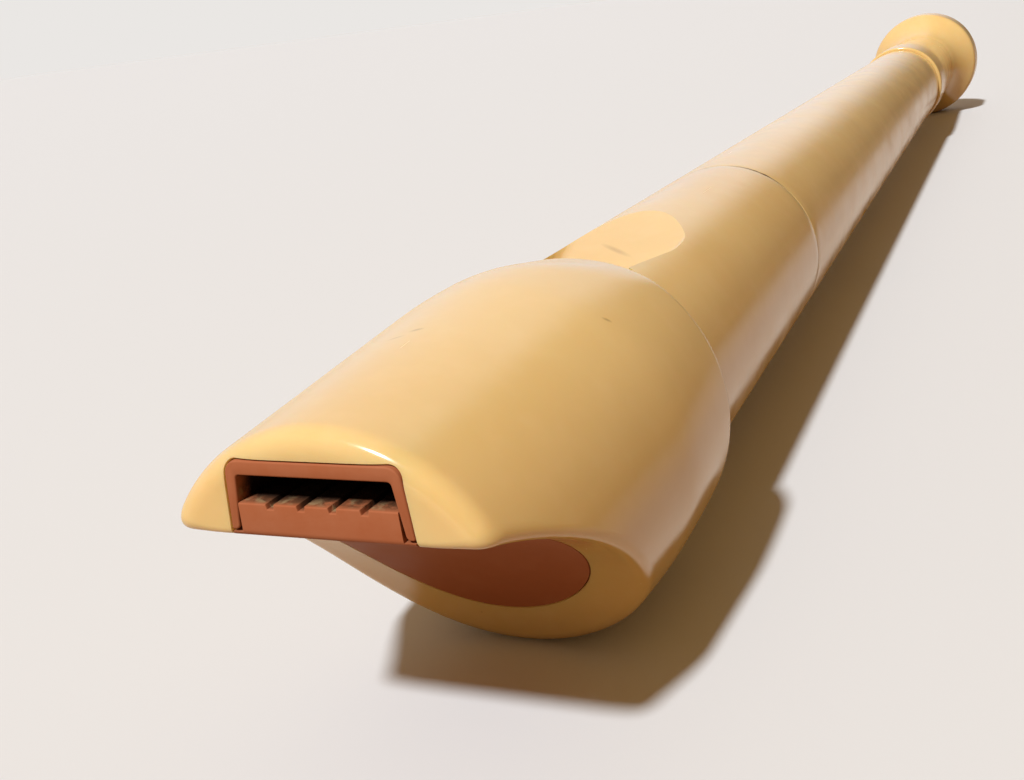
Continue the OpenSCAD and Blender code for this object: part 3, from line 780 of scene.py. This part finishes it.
middleJoint = turnedPiece(outline, 144, "middleJoint")
cutters = []
for number, (s, diameter) in enumerate(middle["holes"]):
    cutters.append(holeCutter(s, diameter, middleRadius(s), middle["holeTurn"], f"fingerHole{number}"))
thumbPlace, thumbSize = middle["thumb"]
thumbTurn = middle["holeTurn"] + 180
cutters.append(holeCutter(thumbPlace, thumbSize, middleRadius(thumbPlace), thumbTurn, "thumbHole"))
pairPlace, pairSizes, pairSpread = middle["pair"]
for side, diameter in zip((-1, 1), pairSizes):
    turn = middle["holeTurn"] + side * pairSpread
    cutters.append(holeCutter(pairPlace, diameter, middleRadius(pairPlace), turn, "pairHole"))
cutAway(middleJoint, cutters)
finishPiece(middleJoint, ivory, 32, "middle", "middle_joint")

# foot joint: socket ring, taper to a waist, cove and bell
foot = {
    "start": 258.1, "ringRadius": 9.4, "ringEnd": 268.1, "waist": 302.0, "waistRadius": 8.25, "cove": 14.0,
    "edge": 0.45, "ringSoft": 1, "bellRadius": 13.4, "end": 325.0, "bellRound": 4.0, "bellSoft": 0.9,
    "faceRadius": 9.2, "socketRadius": 7.45, "socketEnd": 273.1, "boreRadius": 5.3, "mouth": 1.0,
    "pair": (280.9, (3.6, 3.0), 14.0), "holeTurn": 45.0,
}


def footRadius(s):
    share = (s - foot["ringEnd"]) / (foot["waist"] - foot["ringEnd"])
    return foot["ringRadius"] + (foot["waistRadius"] - foot["ringRadius"]) * share


start, end, edge, ringSoft = (foot[key] for key in ("start", "end", "edge", "ringSoft"))
ringR, waistR, bellR, boreR = (foot[key] for key in ("ringRadius", "waistRadius", "bellRadius", "boreRadius"))
ringEnd, bellRound, bellSoft = foot["ringEnd"], foot["bellRound"], foot["bellSoft"]
lean = math.degrees(math.atan((ringR - waistR) / (foot["waist"] - ringEnd)))
coveCentre = (foot["waist"] + foot["cove"] * math.sin(math.radians(lean)),
              waistR + foot["cove"] * math.cos(math.radians(lean)))
coveTurn = math.degrees(math.acos((coveCentre[1] - bellR) / foot["cove"]))
coveEnd = (coveCentre[0] + foot["cove"] * math.sin(math.radians(coveTurn)), bellR)
softTurn = coveTurn - math.degrees(bellSoft / foot["cove"])
taperTop = (ringEnd + ringSoft, footRadius(ringEnd + ringSoft))
bellStart = (coveEnd[0] + bellSoft, bellR)
mouthOut = (end, boreR + foot["mouth"] + 0.4)
mouthIn = (end - foot["mouth"] - 0.6, boreR)
outline = [(start, foot["socketRadius"] + edge), (start, ringR - edge)]
outline += bend((start, ringR - edge), (start, ringR), (start + edge, ringR), 5)
outline += between((start + edge, ringR), (ringEnd - ringSoft, ringR), 4)
outline += bend((ringEnd - ringSoft, ringR), (ringEnd, ringR), taperTop, 5)
outline += between(taperTop, (foot["waist"], waistR), 16)
cove = arcPoints(coveCentre, foot["cove"], -90 - lean, -90 + softTurn, 18)[1:]
outline += cove
outline += bend(cove[-1], coveEnd, bellStart, 6)
outline += between(bellStart, (end - bellRound, bellR), 4)
outline += arcPoints((end - bellRound, bellR - bellRound), bellRound, 90, 0, 14)[1:]
outline += between((end, foot["faceRadius"]), mouthOut, 3)
outline += bend(mouthOut, (end, boreR + 0.2), mouthIn, 6)
outline += between(mouthIn, (foot["socketEnd"], boreR), 20)
outline += [(foot["socketEnd"], foot["socketRadius"]), (start + edge, foot["socketRadius"])]
footJoint = turnedPiece(outline, 160, "footJoint")
pairPlace, pairSizes, pairSpread = foot["pair"]
cutters = []
for side, diameter in zip((-1, 1), pairSizes):
    turn = foot["holeTurn"] + side * pairSpread
    cutters.append(holeCutter(pairPlace, diameter, footRadius(pairPlace), turn, "littleHole"))
cutAway(footJoint, cutters)
finishPiece(footJoint, ivory, 32, "foot", "foot_joint")

# corks: a band round each tenon, its edges worn round
corks = {
    "headCork": {
        "span": (72.55, 82.45), "inner": 7.65, "outer": 8.4, "body": "head_ring", "node": "head_tenon_cork"},
    "footCork": {
        "span": (261.95, 268.85), "inner": 6.65, "outer": 7.4, "body": "foot_ring", "node": "foot_tenon_cork"},
}
corkWorn = {"along": 0.4, "down": 0.3}
for name, cork in corks.items():
    (start, end), inner, outer = cork["span"], cork["inner"], cork["outer"]
    low, first, last = outer - corkWorn["down"], start + corkWorn["along"], end - corkWorn["along"]
    outline = [(start, inner), (start, low)]
    outline += bend((start, low), (start, outer), (first, outer), 5)
    outline += between((first, outer), (last, outer), 12)
    outline += bend((last, outer), (end, outer), (end, low), 5)
    outline += [(end, low), (end, inner)]
    band = turnedPiece(outline, 96, name)
    finishPiece(band, corkBark, 40, cork["body"], cork["node"])

# camera at the photograph's angle
cameraView = {
    "place": (-0.211577, -0.036253, 0.045245),
    "right": (0.39502, -0.90978, -0.12749),
    "up": (0.33045, 0.01123, 0.94376),
    "lens": 42.504,
}
cameraData = bpy.data.cameras.new("camera")
cameraData.lens = cameraView["lens"]
cameraData.sensor_width = 36
cameraData.clip_start = 0.005
camera = bpy.data.objects.new("camera", cameraData)
bpy.context.scene.collection.objects.link(camera)
right = Vector(cameraView["right"]).normalized()
up = Vector(cameraView["up"]).normalized()
back = right.cross(up)
facing = Matrix((right, up, back)).transposed().to_4x4()
camera.matrix_world = Matrix.Translation(cameraView["place"]) @ facing
bpy.context.scene.camera = camera

# pale table: the camera sees it as it is, it throws less light back, and the gloss mirrors it
# dimmer to the right
tableTop = {
    "half": 4.0, "seen": "#DFE6EE", "mirrored": "#E0DEDA", "dim": "#6E5A40", "dimFrom": (-0.03, -0.075),
    "thrown": "#8F7044", "roughness": 0.65,
}
tablePaint, tableTree, tableShader, tableCoords = newMaterial("paleTable")
tableShader.inputs["Roughness"].default_value = tableTop["roughness"]
lightPath = tableTree.nodes.new("ShaderNodeLightPath")
tableAxes = addNode(tableTree, "ShaderNodeSeparateXYZ", {}, {"Vector": tableCoords.outputs["Object"]})
tableDim = addNode(tableTree, "ShaderNodeMapRange", {
    "From Min": tableTop["dimFrom"][0], "From Max": tableTop["dimFrom"][1]},
    {"Value": tableAxes.outputs["Y"]})
tableMirrored = addNode(tableTree, "ShaderNodeMix", {
    "data_type": "RGBA", 6: linear(tableTop["mirrored"]), 7: linear(tableTop["dim"])},
    {"Factor": tableDim.outputs["Result"]})
tableGlossy = addNode(tableTree, "ShaderNodeMix", {"data_type": "RGBA", 6: linear(tableTop["thrown"])},
                      {"Factor": lightPath.outputs["Is Glossy Ray"], 7: tableMirrored.outputs[2]})
tableColour = addNode(tableTree, "ShaderNodeMix", {"data_type": "RGBA", 7: linear(tableTop["seen"])},
                      {"Factor": lightPath.outputs["Is Camera Ray"], 6: tableGlossy.outputs[2]})
tableTree.links.new(tableColour.outputs[2], tableShader.inputs["Base Color"])
bm = bmesh.new()
bmesh.ops.create_grid(bm, x_segments=1, y_segments=1, size=tableTop["half"])
table = toObject(bm, "table")
table.data.materials.append(tablePaint)

# light: one lamp above and behind the camera, far enough to light the table evenly
keyLamp = {
    "towards": (0.615, -0.07, -0.785), "angle": 4.5, "strength": 3.4, "colour": "#FFFCF8",
    "place": (-1.2, 0.2, 1.5),
}
keyData = bpy.data.lights.new("key", "SUN")
keyData.angle = math.radians(keyLamp["angle"])
keyData.energy = keyLamp["strength"]
keyData.color = linear(keyLamp["colour"])[:3]
key = bpy.data.objects.new("key", keyData)
key.rotation_mode = "QUATERNION"
key.rotation_quaternion = Vector(keyLamp["towards"]).to_track_quat("-Z", "Y")
key.location = keyLamp["place"]
bpy.context.scene.collection.objects.link(key)

# room: warm and dim as a light, and pale on the left in what the gloss mirrors
roomLight = {
    "side": (0.15, 0.95, 0.25), "seen": "#EAE7E4", "glow": "#FFC77F", "glowLevel": (0.27, 0.31),
    "glowFrom": (-0.05, 0.4), "shine": "#F4F6FF", "shineLevel": (0.05, 0.95), "shineFrom": (0.08, 0.32),
}
world = bpy.data.worlds.new("room")
bpy.context.scene.world = world
world.use_nodes = True
roomTree = world.node_tree
roomBack = roomTree.nodes["Background"]
roomCoords = roomTree.nodes.new("ShaderNodeTexCoord")
roomPath = roomTree.nodes.new("ShaderNodeLightPath")
roomSide = addNode(roomTree, "ShaderNodeVectorMath", {
    "operation": "DOT_PRODUCT", 1: Vector(roomLight["side"]).normalized()},
    {0: roomCoords.outputs["Generated"]})
roomGlow = addNode(roomTree, "ShaderNodeMapRange", {
    "interpolation_type": "SMOOTHSTEP",
    "From Min": roomLight["glowFrom"][0], "From Max": roomLight["glowFrom"][1],
    "To Min": roomLight["glowLevel"][0], "To Max": roomLight["glowLevel"][1]},
    {"Value": roomSide.outputs["Value"]})
roomShine = addNode(roomTree, "ShaderNodeMapRange", {
    "interpolation_type": "SMOOTHSTEP",
    "From Min": roomLight["shineFrom"][0], "From Max": roomLight["shineFrom"][1],
    "To Min": roomLight["shineLevel"][0], "To Max": roomLight["shineLevel"][1]},
    {"Value": roomSide.outputs["Value"]})
roomLevel = addNode(roomTree, "ShaderNodeMix", {"data_type": "FLOAT"}, {
    "Factor": roomPath.outputs["Is Glossy Ray"],
    2: roomGlow.outputs["Result"], 3: roomShine.outputs["Result"]})
roomStrength = addNode(roomTree, "ShaderNodeMix", {"data_type": "FLOAT", 3: 1.0}, {
    "Factor": roomPath.outputs["Is Camera Ray"], 2: roomLevel.outputs[0]})
roomTint = addNode(roomTree, "ShaderNodeMix", {
    "data_type": "RGBA", 6: linear(roomLight["glow"]), 7: linear(roomLight["shine"])},
    {"Factor": roomPath.outputs["Is Glossy Ray"]})
roomColour = addNode(roomTree, "ShaderNodeMix", {"data_type": "RGBA", 7: linear(roomLight["seen"])}, {
    "Factor": roomPath.outputs["Is Camera Ray"], 6: roomTint.outputs[2]})
roomTree.links.new(roomStrength.outputs[0], roomBack.inputs["Strength"])
roomTree.links.new(roomColour.outputs[2], roomBack.inputs["Color"])
bpy.context.scene.view_settings.view_transform = "Standard"
print("camera, stage and light set")
